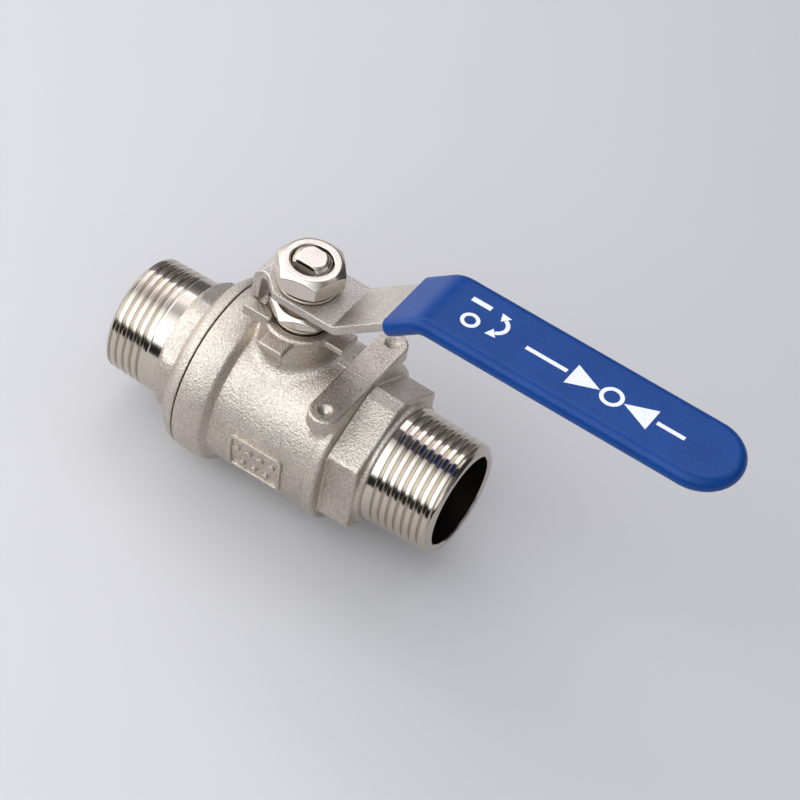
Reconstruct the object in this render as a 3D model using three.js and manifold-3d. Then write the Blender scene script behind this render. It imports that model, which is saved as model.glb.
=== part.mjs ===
// Two-piece ball valve with male threaded ends and a lever handle.
// Millimetres, +Z up the stem, +X along the pipe towards the body's own threaded end.
// The origin is the centre of the ball, where the stem's axis meets the pipe's axis.

import * as THREE from 'three';
import { mergeVertices } from 'three/addons/utils/BufferGeometryUtils.js';
import Module from 'manifold-3d';

const wasm = await Module();
wasm.setup();

// Driving dimensions -----------------------------------------------------------------------

const GAP = 0.3; // clearance kept between pieces that touch
const OVERLAP = 0.2; // how far the shapes joined into one piece run into each other

// Pipe ends
const THREAD_CREST = 16.9; // at the inner end of the thread
const THREAD_ROOT = 15.5;
const THREAD_PITCH = 2.309;
const THREAD_RUNOUT = 1;
const THREAD_TAPER = 1 / 32; // radius lost per millimetre towards the open end
const NECK_RADIUS = 16.9;
const END_BORE = 12.9;
const MOUTH_RADIUS = 13.25;
const PORT_RADIUS = 12.2;
const END_CHAMFER = 0.8;
const MOUTH_CHAMFER = 0.4;

// Body
const BODY_END = 54.1;
const BODY_THREADS = 8;
const SEAM = -19.6;
const SEAM_RADIUS = 24.7;
const SEAM_RISE = 2.5; // length of the body's slope up to the ring
const RING_RADIUS = 25.2;
const RING_CHAMFER = 0.8;
const RING_END = -11.6;
const BARREL_START = -9.8;
const BARREL_RADIUS = 22.2;
const BEAD_START = 19.4;
const BEAD_END = 23.3;
const BEAD_RADIUS = 22.9;
const BEAD_CHAMFER = 0.8;
const BODY_HEX_FLATS = 37;
const BODY_HEX_CORNER = 21.2;
const BODY_HEX_CREST = 20.1; // height of the flats cut on its top and bottom corners
const BODY_HEX_END = 32.7;
const BORE_TAPER_START = 29;
const BORE_TAPER_END = 33;

// End cap
const CAP_END = -47.95;
const CAP_THREADS = 6;
const CAP_HEX_FLATS = 34.2;
const CAP_HEX_CORNER = 18.6;
const CAP_HEX_TURN = -10.9; // degrees about X, from a corner straight up
const CAP_HEX_START = -31.2;
const CAP_HEX_END = -25.2;
const CAP_HEX_CHAMFER = 2; // length along X
const CAP_SHOULDER_RADIUS = 18.6;
const SPIGOT_RADIUS = 20.6;
const SPIGOT_END = -12.9;
const SPIGOT_CHAMFER = 0.8;

// Ball, seats and joint ring
const BALL_RADIUS = 18.2;
const CAVITY_RADIUS = 18.8;
const CAVITY_END = 9.3;
const SEAT_OUTER = 17;
const SEAT_FRONT = 9.6;
const SEAT_BACK = 16;
const SHOULDER = -11.2;
const SLOT_WIDTH = 6;
const SLOT_FLOOR = 13.7;

// Stem and packing, heights above the pipe's axis
const NECK_BOTTOM = 12; // inside the barrel's wall
const NECK_ROOT_HEIGHT = 20.4;
const NECK_ROOT_RADIUS = 11.6;
const NECK_FILLET_HEIGHT = 3.6;
const NECK_TOP_RADIUS = 10.1;
const NECK_TOP = 31.9;
const STUFFING_RADIUS = 7.6;
const STUFFING_FLOOR = 24.7;
const RECESS_TOP = 23.2;
const STEM_RADIUS = 5.4;
const STEM_SHOULDER = 32.3;
const STEM_THREAD_RADIUS = 5;
const STEM_TOP = 53.1;
const FLATS_START = 40.9;
const FLAT_HALF = 3.3;
const TANG_HALF_LENGTH = 5.5;
const STEM_CHAMFER = 1.2;
const FOOT_RADIUS = 7.2;
const FOOT_CLEARANCE = 0.4;
const FOOT_BOTTOM = 19.2;
const FOOT_TOP = 21.6;
const RING_HEIGHT = 1.8;
const CHEVRON_RIDGE = 0.5;
const GLAND_TOP = 32.5;

// Nuts and washers
const NUT_FLATS = 16.8;
const NUT_FACE_INSET = 0.9; // how far the flat top's rim lies inside the flats
const NUT_CHAMFER_SLOPE = 0.8;
const HANDLE_NUT_CORNER = -49.4; // degrees from +X
const GLAND_NUT_CORNER = -98;
const GLAND_WASHER_RADIUS = 7.8;
const GLAND_WASHER_TOP = 33.5;
const GLAND_NUT_TOP = 37.8;
const SPRING_WASHER_RADIUS = 8.1;
const WASHER_SLIT = 1.2;
const SPRING_WASHER_TOP = 44.65;
const HANDLE_NUT_TOP = 51.8;

// Neck lugs
const LUG_CLEARANCE = 0.5; // round the gland washer
const TAB_HALF = 3.6;
const TAB_START = 8.5;
const TAB_REACH = 14.8;
const TAB_HEIGHT = 2.2;
const LUG_REACH = 12.9;
const LUG_INNER = 4.6;
const LUG_OUTER = 8.5;
const LUG_BOTTOM = 30.3;
const LUG_TOP = 33.5;

// Ear pad
const EAR_X = 18.9;
const EAR_HALF = 4.45;
const EAR_TOP = 22.3;
const EAR_THICKNESS = 4.7;
const EAR_WEB_BOTTOM = 9;
const EAR_DIMPLE_Y = 15.3;
const DIMPLE_RADIUS = 2;
const DIMPLE_DEPTH = 1.5;

// Lever and sleeve
const LEVER_THICKNESS = 2.5;
const LEVER_HALF = 9.1;
const LEVER_FLAT_Z = 42.4;
const LEVER_GRIP_Z = 61.75;
const LEVER_RISE_START = 13.6;
const LEVER_RISE_END = 37.1;
const GRIP_END_CENTRE = 111;
const TAIL_X = -12.3;
const TAIL_HALF = 4.25;
const TAIL_BOTTOM = 31.5;
const TAIL_START = -9.5;
const PLATE_CORNER = -4.45;
const TAIL_BEND = 3;
const RISE_BEND = 4;
const GRIP_BEND = 6.5;
const SLEEVE_START = 27.9;
const SLEEVE_HALF = 11.3;
const SLEEVE_THICKNESS = 5.1;

// Facets on round pieces
const WIDE = 40;
const NARROW = 24;

// Materials --------------------------------------------------------------------------------

const finish = (color, roughness, metalness) =>
  new THREE.MeshStandardMaterial({ color, roughness, metalness });

const castSteel = () => finish(0xb4aca5, 0.48, 1);
const machinedSteel = () => finish(0xc9c6c0, 0.2, 1);
const sheetSteel = () => finish(0xb9b4ad, 0.38, 1);
const ptfe = () => finish(0xf2f0ea, 0.5, 0);
const blueVinyl = () => finish(0x1f56ad, 0.36, 0);

// Solid helpers ----------------------------------------------------------------------------

function solidOf(geometry) {
  geometry.deleteAttribute('normal');
  geometry.deleteAttribute('uv');
  const merged = mergeVertices(geometry, 1e-4);
  const corners = merged.index.array;
  const triangles = [];
  for (let first = 0; first < corners.length; first += 3) {
    const [a, b, c] = corners.slice(first, first + 3);
    if (a !== b && b !== c && c !== a) triangles.push(a, b, c);
  }
  return new wasm.Manifold(new wasm.Mesh({
    numProp: 3,
    vertProperties: new Float32Array(merged.attributes.position.array),
    triVerts: new Uint32Array(triangles),
  }));
}

function geometryOf(solid) {
  const mesh = solid.getMesh();
  const geometry = new THREE.BufferGeometry();
  geometry.setAttribute('position', new THREE.BufferAttribute(mesh.vertProperties, 3));
  geometry.setIndex(new THREE.BufferAttribute(mesh.triVerts, 1));
  return geometry;
}

// A closed outline of [along, radius] pairs, turned about the axis it lies along.
function turned(outline, facets) {
  const points = outline.map(([along, radius]) => new THREE.Vector2(radius, along));
  if (THREE.ShapeUtils.area(points) < 0) points.reverse();
  points.push(points[0].clone());
  return new THREE.LatheGeometry(points, facets);
}

const turnedAboutX = (outline, facets = WIDE) => solidOf(turned(outline, facets).rotateZ(-Math.PI / 2));
const turnedAboutZ = (outline, facets = NARROW) => solidOf(turned(outline, facets).rotateX(Math.PI / 2));

// A solid round bar whose outline of [along, radius] pairs starts and ends on the axis.
const barAboutX = (outline, facets = WIDE) => {
  const points = outline.map(([along, radius]) => new THREE.Vector2(radius, along));
  return solidOf(new THREE.LatheGeometry(points, facets).rotateZ(-Math.PI / 2));
};

const barAboutZ = (outline, facets = NARROW) => {
  const points = outline.map(([along, radius]) => new THREE.Vector2(radius, along));
  return solidOf(new THREE.LatheGeometry(points, facets).rotateX(Math.PI / 2));
};

const rodX = (from, to, radius, facets) =>
  barAboutX([[from, 0], [from, radius], [to, radius], [to, 0]], facets);

const rodZ = (from, to, radius, facets) =>
  barAboutZ([[from, 0], [from, radius], [to, radius], [to, 0]], facets);

function block([x0, x1], [y0, y1], [z0, z1]) {
  const box = new THREE.BoxGeometry(x1 - x0, y1 - y0, z1 - z0);
  box.translate((x0 + x1) / 2, (y0 + y1) / 2, (z0 + z1) / 2);
  return solidOf(box);
}

// A plan outline in X and Y, raised from one height to another.
function raised(shape, from, to) {
  const geometry = new THREE.ExtrudeGeometry(shape, {
    depth: to - from, bevelEnabled: false, curveSegments: 8,
  });
  return solidOf(geometry.translate(0, 0, from));
}

// A hexagonal bar along X with a corner pointing up, or turned about X by some degrees.
function hexAlongX(flats, from, to, turn = 0) {
  const corner = flats / Math.sqrt(3);
  const bar = new THREE.CylinderGeometry(corner, corner, to - from, 6);
  bar.rotateZ(-Math.PI / 2);
  bar.rotateX(THREE.MathUtils.degToRad(turn));
  return solidOf(bar.translate((from + to) / 2, 0, 0));
}

// A rounded shoulder of [along, radius] pairs, a quarter of an ellipse from foot to crest.
function roundShoulder([footAlong, footRadius], [crestAlong, crestRadius], steps) {
  const profile = [];
  for (let step = 0; step <= steps; step += 1) {
    const angle = 0.5 * Math.PI * step / steps;
    const along = crestAlong + (footAlong - crestAlong) * Math.cos(angle);
    profile.push([along, footRadius + (crestRadius - footRadius) * Math.sin(angle)]);
  }
  return profile;
}

// Threads are rings at the thread's pitch, listed as [along, radius] pairs from the inner end
// of the thread, and they grow smaller towards the open end.
function threadRings(start, count, direction) {
  const rings = [];
  for (let half = 0; half <= 2 * count; half += 1) {
    const along = 0.5 * half * THREAD_PITCH;
    const radius = half % 2 === 0 ? THREAD_ROOT : THREAD_CREST;
    rings.push([start + direction * along, radius - along * THREAD_TAPER]);
  }
  return rings;
}

// Body -------------------------------------------------------------------------------------

function stopLug() {
  const plan = block([-LUG_REACH, -LUG_INNER], [-LUG_OUTER, -TAIL_HALF - GAP], [LUG_BOTTOM, LUG_TOP]);
  return plan.subtract(rodZ(NECK_TOP, LUG_TOP + 1, GLAND_WASHER_RADIUS + LUG_CLEARANCE, NARROW));
}

function earPad() {
  const outline = new THREE.Shape();
  outline.moveTo(EAR_X + EAR_HALF, -EAR_DIMPLE_Y);
  outline.lineTo(EAR_X + EAR_HALF, EAR_DIMPLE_Y);
  outline.absarc(EAR_X, EAR_DIMPLE_Y, EAR_HALF, 0, Math.PI, false);
  outline.lineTo(EAR_X - EAR_HALF, -EAR_DIMPLE_Y);
  outline.absarc(EAR_X, -EAR_DIMPLE_Y, EAR_HALF, Math.PI, 2 * Math.PI, false);
  const bar = raised(outline, EAR_TOP - EAR_THICKNESS, EAR_TOP);
  const webHalf = EAR_HALF - 2;
  const webReach = EAR_DIMPLE_Y + 2;
  const webSpan = [EAR_WEB_BOTTOM, EAR_TOP - EAR_THICKNESS + 1];
  return bar.add(block([EAR_X - webHalf, EAR_X + webHalf], [-webReach, webReach], webSpan));
}

function dimple(side) {
  const drill = barAboutZ([
    [EAR_TOP - DIMPLE_DEPTH, 0],
    [EAR_TOP, DIMPLE_RADIUS],
    [EAR_TOP + 1, DIMPLE_RADIUS],
    [EAR_TOP + 1, 0],
  ], 16);
  return drill.translate([EAR_X, side * EAR_DIMPLE_Y, 0]);
}

// The hollow curve of [height, radius] pairs that leads from the neck's root to its shaft.
function neckFillet(steps) {
  const profile = [];
  for (let step = 0; step <= steps; step += 1) {
    const rise = step / steps;
    const flare = (NECK_ROOT_RADIUS - NECK_TOP_RADIUS) * (1 - rise) ** 2;
    profile.push([NECK_ROOT_HEIGHT + NECK_FILLET_HEIGHT * rise, NECK_TOP_RADIUS + flare]);
  }
  return profile;
}

function makeBody() {
  const threadStart = BODY_END - END_CHAMFER - BODY_THREADS * THREAD_PITCH;
  const barrel = barAboutX([
    [SEAM, 0],
    [SEAM, SEAM_RADIUS],
    [SEAM + SEAM_RISE, RING_RADIUS],
    [RING_END - RING_CHAMFER, RING_RADIUS],
    [RING_END, RING_RADIUS - RING_CHAMFER],
    [BARREL_START, BARREL_RADIUS],
    [BEAD_START, BARREL_RADIUS],
    [BEAD_START + BEAD_CHAMFER, BEAD_RADIUS],
    [BEAD_END - BEAD_CHAMFER, BEAD_RADIUS],
    [BEAD_END, BODY_HEX_CREST],
    [BEAD_END, 0],
  ]);
  const hexCrest = [-BODY_HEX_CREST, BODY_HEX_CREST];
  const hex = hexAlongX(BODY_HEX_FLATS, BEAD_END - 1, BODY_HEX_END)
    .intersect(rodX(BEAD_END - 2, BODY_HEX_END + 1, BODY_HEX_CORNER, WIDE))
    .intersect(block([BEAD_END - 2, BODY_HEX_END + 1], [-BEAD_RADIUS, BEAD_RADIUS], hexCrest));
  const threadedEnd = barAboutX([
    [BODY_HEX_END - 1, 0],
    [BODY_HEX_END - 1, NECK_RADIUS + 1],
    [BODY_HEX_END + 1, NECK_RADIUS],
    [threadStart - THREAD_RUNOUT, NECK_RADIUS],
    ...threadRings(threadStart, BODY_THREADS, 1),
    [BODY_END, THREAD_ROOT - END_CHAMFER],
    [BODY_END, 0],
  ]);
  const neck = barAboutZ([
    [NECK_BOTTOM, 0],
    [NECK_BOTTOM, NECK_ROOT_RADIUS],
    ...neckFillet(3),
    [NECK_TOP, NECK_TOP_RADIUS],
    [NECK_TOP, 0],
  ], WIDE);
  const tabHeight = [NECK_TOP - TAB_HEIGHT, NECK_TOP];
  const frontTab = block([-TAB_HALF, TAB_HALF], [-TAB_REACH, -TAB_START], tabHeight);
  const rightTab = block([TAB_START, TAB_REACH], [-TAB_HALF, TAB_HALF], tabHeight);
  const openStop = stopLug();
  const closedStop = stopLug().rotate([0, 0, -90]).mirror([1, 0, 0]);
  const overEar = [EAR_TOP, BEAD_RADIUS + 1];
  const aboveEarPad = block([BEAD_START, BEAD_END + 1], [-BEAD_RADIUS, BEAD_RADIUS], overEar);

  const waterway = turnedAboutX([
    [BODY_END + 1, 0],
    [BODY_END + 1, MOUTH_RADIUS + 1],
    [BODY_END, MOUTH_RADIUS],
    [BODY_END - MOUTH_CHAMFER, END_BORE],
    [BORE_TAPER_END, END_BORE],
    [BORE_TAPER_START, PORT_RADIUS],
    [SEAT_BACK + GAP, PORT_RADIUS],
    [SEAT_BACK + GAP, SEAT_OUTER + GAP],
    [CAVITY_END, SEAT_OUTER + GAP],
    [CAVITY_END, CAVITY_RADIUS],
    [SHOULDER, CAVITY_RADIUS],
    [SHOULDER, SPIGOT_RADIUS + GAP],
    [SEAM - 1, SPIGOT_RADIUS + GAP],
    [SEAM - 1, 0],
  ]);
  const stemway = barAboutZ([
    [0, 0],
    [0, FOOT_RADIUS + FOOT_CLEARANCE],
    [RECESS_TOP, FOOT_RADIUS + FOOT_CLEARANCE],
    [RECESS_TOP, STEM_RADIUS + GAP],
    [STUFFING_FLOOR, STEM_RADIUS + GAP],
    [STUFFING_FLOOR, STUFFING_RADIUS],
    [NECK_TOP + 1, STUFFING_RADIUS],
    [NECK_TOP + 1, 0],
  ]);

  return [hex, threadedEnd, neck, earPad(), frontTab, rightTab, openStop, closedStop]
    .reduce((whole, piece) => whole.add(piece), barrel)
    .subtract(waterway)
    .subtract(stemway)
    .subtract(aboveEarPad)
    .subtract(dimple(1))
    .subtract(dimple(-1));
}

// End cap ----------------------------------------------------------------------------------

function makeEndCap() {
  const threadStart = CAP_END + END_CHAMFER + CAP_THREADS * THREAD_PITCH;
  const flange = barAboutX([
    [CAP_HEX_END, 0],
    ...roundShoulder([CAP_HEX_END, CAP_SHOULDER_RADIUS], [SEAM - GAP, SEAM_RADIUS], 6),
    [SEAM - GAP, SPIGOT_RADIUS],
    [SPIGOT_END - SPIGOT_CHAMFER, SPIGOT_RADIUS],
    [SPIGOT_END, SPIGOT_RADIUS - SPIGOT_CHAMFER],
    [SPIGOT_END, 0],
  ]);
  const hexCone = barAboutX([
    [CAP_HEX_START, 0],
    [CAP_HEX_START, CAP_HEX_FLATS / 2],
    [CAP_HEX_START + CAP_HEX_CHAMFER, CAP_HEX_CORNER],
    [CAP_HEX_END + 2, CAP_HEX_CORNER],
    [CAP_HEX_END + 2, 0],
  ]);
  const hex = hexAlongX(CAP_HEX_FLATS, CAP_HEX_START - 1, CAP_HEX_END + 1, CAP_HEX_TURN)
    .intersect(hexCone);
  const threadedEnd = barAboutX([
    [CAP_END, 0],
    [CAP_END, THREAD_ROOT - END_CHAMFER],
    ...threadRings(threadStart, CAP_THREADS, -1).reverse(),
    [threadStart + THREAD_RUNOUT, NECK_RADIUS],
    [CAP_HEX_START + 1, NECK_RADIUS],
    [CAP_HEX_START + 1, 0],
  ]);
  const waterway = turnedAboutX([
    [CAP_END - 1, 0],
    [CAP_END - 1, MOUTH_RADIUS + 1],
    [CAP_END, MOUTH_RADIUS],
    [CAP_END + MOUTH_CHAMFER, END_BORE],
    [-BORE_TAPER_END, END_BORE],
    [-BORE_TAPER_START, PORT_RADIUS],
    [-SEAT_BACK - GAP, PORT_RADIUS],
    [-SEAT_BACK - GAP, SEAT_OUTER + GAP],
    [SPIGOT_END + 1, SEAT_OUTER + GAP],
    [SPIGOT_END + 1, 0],
  ]);
  return flange.add(hex).add(threadedEnd).subtract(waterway);
}

// Ball, seats and joint ring -----------------------------------------------------------------

// Points on a sphere of the given radius about the origin, between two places along X.
function sphereArc(radius, from, to, steps) {
  const arc = [];
  for (let step = 0; step <= steps; step += 1) {
    const angle = THREE.MathUtils.lerp(Math.acos(from / radius), Math.acos(to / radius), step / steps);
    arc.push([radius * Math.cos(angle), radius * Math.sin(angle)]);
  }
  return arc;
}

function makeBall() {
  const mouth = Math.sqrt(BALL_RADIUS ** 2 - PORT_RADIUS ** 2);
  const bored = turnedAboutX(sphereArc(BALL_RADIUS, -mouth, mouth, 12));
  const slotSpan = [-SLOT_WIDTH / 2, SLOT_WIDTH / 2];
  const slot = block(slotSpan, [-BALL_RADIUS, BALL_RADIUS], [SLOT_FLOOR, BALL_RADIUS + 1]);
  return bored.subtract(slot);
}

function makeSeat(side) {
  const touch = BALL_RADIUS + GAP;
  const inner = Math.sqrt(touch ** 2 - PORT_RADIUS ** 2);
  const outline = [
    [SEAT_BACK, PORT_RADIUS],
    [SEAT_BACK, SEAT_OUTER],
    [SEAT_FRONT, SEAT_OUTER],
    ...sphereArc(touch, SEAT_FRONT, inner, 3),
  ];
  return turnedAboutX(outline.map(([along, radius]) => [side * along, radius]));
}

function makeGasket() {
  const inner = CAVITY_RADIUS + GAP;
  const from = SPIGOT_END + GAP;
  const to = SHOULDER - GAP;
  return turnedAboutX([[from, inner], [to, inner], [to, SPIGOT_RADIUS], [from, SPIGOT_RADIUS]]);
}

// Stem and packing -------------------------------------------------------------------------

// The double-D outline of a bar with two flats facing -Y and +Y.
function doubleD(radius, flat, from, to) {
  const slab = block([-radius - 1, radius + 1], [-flat, flat], [from, to]);
  return rodZ(from, to, radius, NARROW).intersect(slab);
}

function makeStem() {
  const turnedPart = barAboutZ([
    [FOOT_BOTTOM, 0],
    [FOOT_BOTTOM, FOOT_RADIUS],
    [FOOT_TOP, FOOT_RADIUS],
    [FOOT_TOP, STEM_RADIUS],
    [STEM_SHOULDER, STEM_RADIUS],
    [STEM_SHOULDER, STEM_THREAD_RADIUS],
    [FLATS_START + OVERLAP, STEM_THREAD_RADIUS],
    [FLATS_START + OVERLAP, 0],
  ]);
  const chamfer = barAboutZ([
    [FLATS_START, 0],
    [FLATS_START, STEM_THREAD_RADIUS],
    [STEM_TOP - STEM_CHAMFER, STEM_THREAD_RADIUS],
    [STEM_TOP, STEM_THREAD_RADIUS - STEM_CHAMFER],
    [STEM_TOP, 0],
  ]);
  const top = doubleD(STEM_THREAD_RADIUS, FLAT_HALF, FLATS_START, STEM_TOP).intersect(chamfer);
  const tangHalf = SLOT_WIDTH / 2 - GAP;
  const tangLength = [-TANG_HALF_LENGTH, TANG_HALF_LENGTH];
  const tang = block([-tangHalf, tangHalf], tangLength, [SLOT_FLOOR + GAP, FOOT_BOTTOM + OVERLAP]);
  return turnedPart.add(top).add(tang);
}

function makeThrustWasher() {
  const inner = STEM_RADIUS + GAP;
  const from = FOOT_TOP + GAP;
  const to = RECESS_TOP - GAP;
  return turnedAboutZ([[from, inner], [from, FOOT_RADIUS], [to, FOOT_RADIUS], [to, inner]]);
}

// Chevron packing: each ring's ridge stands in the groove under the next ring.
function makePackingRing(index) {
  const inner = STEM_RADIUS + GAP;
  const outer = STUFFING_RADIUS - GAP;
  const bottom = STUFFING_FLOOR + GAP + index * (RING_HEIGHT + GAP);
  const top = bottom + RING_HEIGHT - CHEVRON_RIDGE;
  const middle = (inner + outer) / 2;
  const foot = index === 0 ? bottom : bottom - CHEVRON_RIDGE;
  return turnedAboutZ([
    [foot, inner], [bottom, middle], [foot, outer],
    [top, outer], [top + CHEVRON_RIDGE, middle], [top, inner],
  ]);
}

function makeGlandRing() {
  const inner = STEM_RADIUS + GAP;
  const outer = STUFFING_RADIUS - GAP;
  const bottom = STUFFING_FLOOR + 3 * (RING_HEIGHT + GAP) + GAP;
  return turnedAboutZ([[bottom, inner], [bottom, outer], [GLAND_TOP, outer], [GLAND_TOP, inner]]);
}

// Nuts and washers -------------------------------------------------------------------------

function makeWasher(outer, from, to) {
  const inner = STEM_THREAD_RADIUS + GAP;
  return turnedAboutZ([[from, inner], [from, outer], [to, outer], [to, inner]]);
}

// A split washer, with its slit at the back.
function makeSpringWasher() {
  const bottom = LEVER_FLAT_Z + LEVER_THICKNESS / 2 + GAP;
  const slitSpan = [-WASHER_SLIT / 2, WASHER_SLIT / 2];
  const slit = block(slitSpan, [0, SPRING_WASHER_RADIUS + 1], [bottom - 1, SPRING_WASHER_TOP + 1]);
  return makeWasher(SPRING_WASHER_RADIUS, bottom, SPRING_WASHER_TOP).subtract(slit);
}

// A hexagon nut, chamfered above and below, with one corner at the given turn about Z.
function makeNut(from, to, cornerTurn) {
  const corner = NUT_FLATS / Math.sqrt(3);
  const face = NUT_FLATS / 2 - NUT_FACE_INSET;
  const drop = (corner - face) * NUT_CHAMFER_SLOPE;
  const chamfered = barAboutZ([
    [from, 0], [from, face], [from + drop, corner], [to - drop, corner], [to, face], [to, 0],
  ], WIDE);
  const hex = new THREE.CylinderGeometry(corner, corner, to - from, 6);
  hex.rotateX(Math.PI / 2);
  hex.rotateZ(THREE.MathUtils.degToRad(cornerTurn + 90));
  const bar = solidOf(hex.translate(0, 0, (from + to) / 2));
  return bar.intersect(chamfered).subtract(rodZ(from - 1, to + 1, STEM_THREAD_RADIUS + GAP, NARROW));
}

// Lever and sleeve -------------------------------------------------------------------------

// The lever's middle line in X and Z, from the tail's foot to the grip's end, with round bends.
function leverLine(start, end) {
  const line = new THREE.Path();
  const bend = (corner, before, after, radius) => {
    const inward = before.clone().sub(corner).normalize();
    const outward = after.clone().sub(corner).normalize();
    const half = inward.angleTo(outward) / 2;
    const reach = radius / Math.tan(half);
    line.lineTo(corner.x + inward.x * reach, corner.y + inward.y * reach);
    line.quadraticCurveTo(corner.x, corner.y, corner.x + outward.x * reach, corner.y + outward.y * reach);
  };
  const tailFoot = new THREE.Vector2(TAIL_X, TAIL_BOTTOM);
  const tailBend = new THREE.Vector2(TAIL_X, LEVER_FLAT_Z);
  const riseStart = new THREE.Vector2(LEVER_RISE_START, LEVER_FLAT_Z);
  const riseEnd = new THREE.Vector2(LEVER_RISE_END, LEVER_GRIP_Z);
  const gripEnd = new THREE.Vector2(end, LEVER_GRIP_Z);
  if (start === 'tail') {
    line.moveTo(tailFoot.x, tailFoot.y);
    bend(tailBend, tailFoot, riseStart, TAIL_BEND);
    bend(riseStart, tailBend, riseEnd, RISE_BEND);
  } else {
    line.moveTo(riseStart.x, riseStart.y);
  }
  bend(riseEnd, riseStart, gripEnd, GRIP_BEND);
  line.lineTo(gripEnd.x, gripEnd.y);
  return line.getPoints(5);
}

// A strip of the given thickness along a line in X and Z, as wide as two halves in Y.
function strip(line, thickness, half) {
  const sides = [[], []];
  line.forEach((point, index) => {
    const before = line[Math.max(index - 1, 0)];
    const after = line[Math.min(index + 1, line.length - 1)];
    const along = after.clone().sub(before).normalize();
    const across = new THREE.Vector2(-along.y, along.x).multiplyScalar(thickness / 2);
    sides[0].push(point.clone().add(across));
    sides[1].unshift(point.clone().sub(across));
  });
  const outline = new THREE.Shape(sides[0].concat(sides[1]));
  const geometry = new THREE.ExtrudeGeometry(outline, { depth: 2 * half, bevelEnabled: false });
  geometry.translate(0, 0, -half);
  return solidOf(geometry.rotateX(Math.PI / 2));
}

// A plan with square corners at its start and a round end about the grip's end centre.
function gripPlan(start, half) {
  const plan = new THREE.Shape();
  plan.moveTo(start, -half);
  plan.lineTo(GRIP_END_CENTRE, -half);
  plan.absarc(GRIP_END_CENTRE, 0, half, -Math.PI / 2, Math.PI / 2, false);
  plan.lineTo(start, half);
  return plan;
}

function leverPlan() {
  const plan = new THREE.Shape();
  plan.moveTo(PLATE_CORNER, -LEVER_HALF);
  plan.lineTo(GRIP_END_CENTRE, -LEVER_HALF);
  plan.absarc(GRIP_END_CENTRE, 0, LEVER_HALF, -Math.PI / 2, Math.PI / 2, false);
  plan.lineTo(PLATE_CORNER, LEVER_HALF);
  plan.lineTo(TAIL_START, TAIL_HALF);
  plan.lineTo(TAIL_X - LEVER_THICKNESS, TAIL_HALF);
  plan.lineTo(TAIL_X - LEVER_THICKNESS, -TAIL_HALF);
  plan.lineTo(TAIL_START, -TAIL_HALF);
  return plan;
}

function makeLever() {
  const line = leverLine('tail', GRIP_END_CENTRE + LEVER_HALF + 1);
  const hole = doubleD(STEM_THREAD_RADIUS + GAP, FLAT_HALF + GAP, LEVER_FLAT_Z - 3, LEVER_FLAT_Z + 3);
  return strip(line, LEVER_THICKNESS, LEVER_HALF + 1)
    .intersect(raised(leverPlan(), TAIL_BOTTOM - 1, LEVER_GRIP_Z + 5))
    .subtract(hole);
}

function makeSleeve() {
  const line = leverLine('rise', GRIP_END_CENTRE + SLEEVE_HALF + 1);
  const low = LEVER_FLAT_Z - 5;
  const high = LEVER_GRIP_Z + 5;
  const outside = strip(line, SLEEVE_THICKNESS, SLEEVE_HALF + 1)
    .intersect(raised(gripPlan(SLEEVE_START, SLEEVE_HALF), low, high));
  const pocket = strip(line, LEVER_THICKNESS + 2 * GAP, LEVER_HALF + 1)
    .intersect(raised(gripPlan(SLEEVE_START - 1, LEVER_HALF + GAP), low, high));
  return outside.subtract(pocket);
}

// Assembly ---------------------------------------------------------------------------------

function addPiece(group, name, solid, material) {
  const mesh = new THREE.Mesh(geometryOf(solid), material);
  mesh.name = name;
  group.add(mesh);
}

const valve = new THREE.Group();
const trim = new THREE.Group();
const handle = new THREE.Group();
valve.add(trim, handle);

addPiece(valve, 'body', makeBody(), castSteel());
addPiece(valve, 'end_cap', makeEndCap(), castSteel());
addPiece(valve, 'body_gasket', makeGasket(), ptfe());

addPiece(trim, 'ball', makeBall(), machinedSteel());
addPiece(trim, 'seat_ring_right', makeSeat(1), ptfe());
addPiece(trim, 'seat_ring_left', makeSeat(-1), ptfe());
addPiece(trim, 'stem', makeStem(), machinedSteel());
addPiece(trim, 'thrust_washer', makeThrustWasher(), ptfe());
['packing_ring_lower', 'packing_ring_middle', 'packing_ring_upper'].forEach((name, index) => {
  addPiece(trim, name, makePackingRing(index), ptfe());
});
addPiece(trim, 'gland_ring', makeGlandRing(), machinedSteel());
const glandWasher = makeWasher(GLAND_WASHER_RADIUS, GLAND_TOP + GAP, GLAND_WASHER_TOP);
addPiece(trim, 'gland_washer', glandWasher, machinedSteel());
const glandNut = makeNut(GLAND_WASHER_TOP + GAP, GLAND_NUT_TOP, GLAND_NUT_CORNER);
addPiece(trim, 'gland_nut', glandNut, machinedSteel());

addPiece(handle, 'lever', makeLever(), sheetSteel());
addPiece(handle, 'spring_washer', makeSpringWasher(), machinedSteel());
const handleNut = makeNut(SPRING_WASHER_TOP + GAP, HANDLE_NUT_TOP, HANDLE_NUT_CORNER);
addPiece(handle, 'handle_nut', handleNut, machinedSteel());
addPiece(handle, 'lever_sleeve', makeSleeve(), blueVinyl());

export default valve;
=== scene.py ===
# Looks of a two-piece ball valve with male threaded ends and a sleeved lever.
# Shapes are worked out in millimetres in the CAD part's frame: +X along the pipe, +Z up the
# stem, origin at the centre of the ball. Meshes are written in metres.

import math

import bmesh
import bpy
import numpy as np
from mathutils import Matrix, Vector


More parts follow.
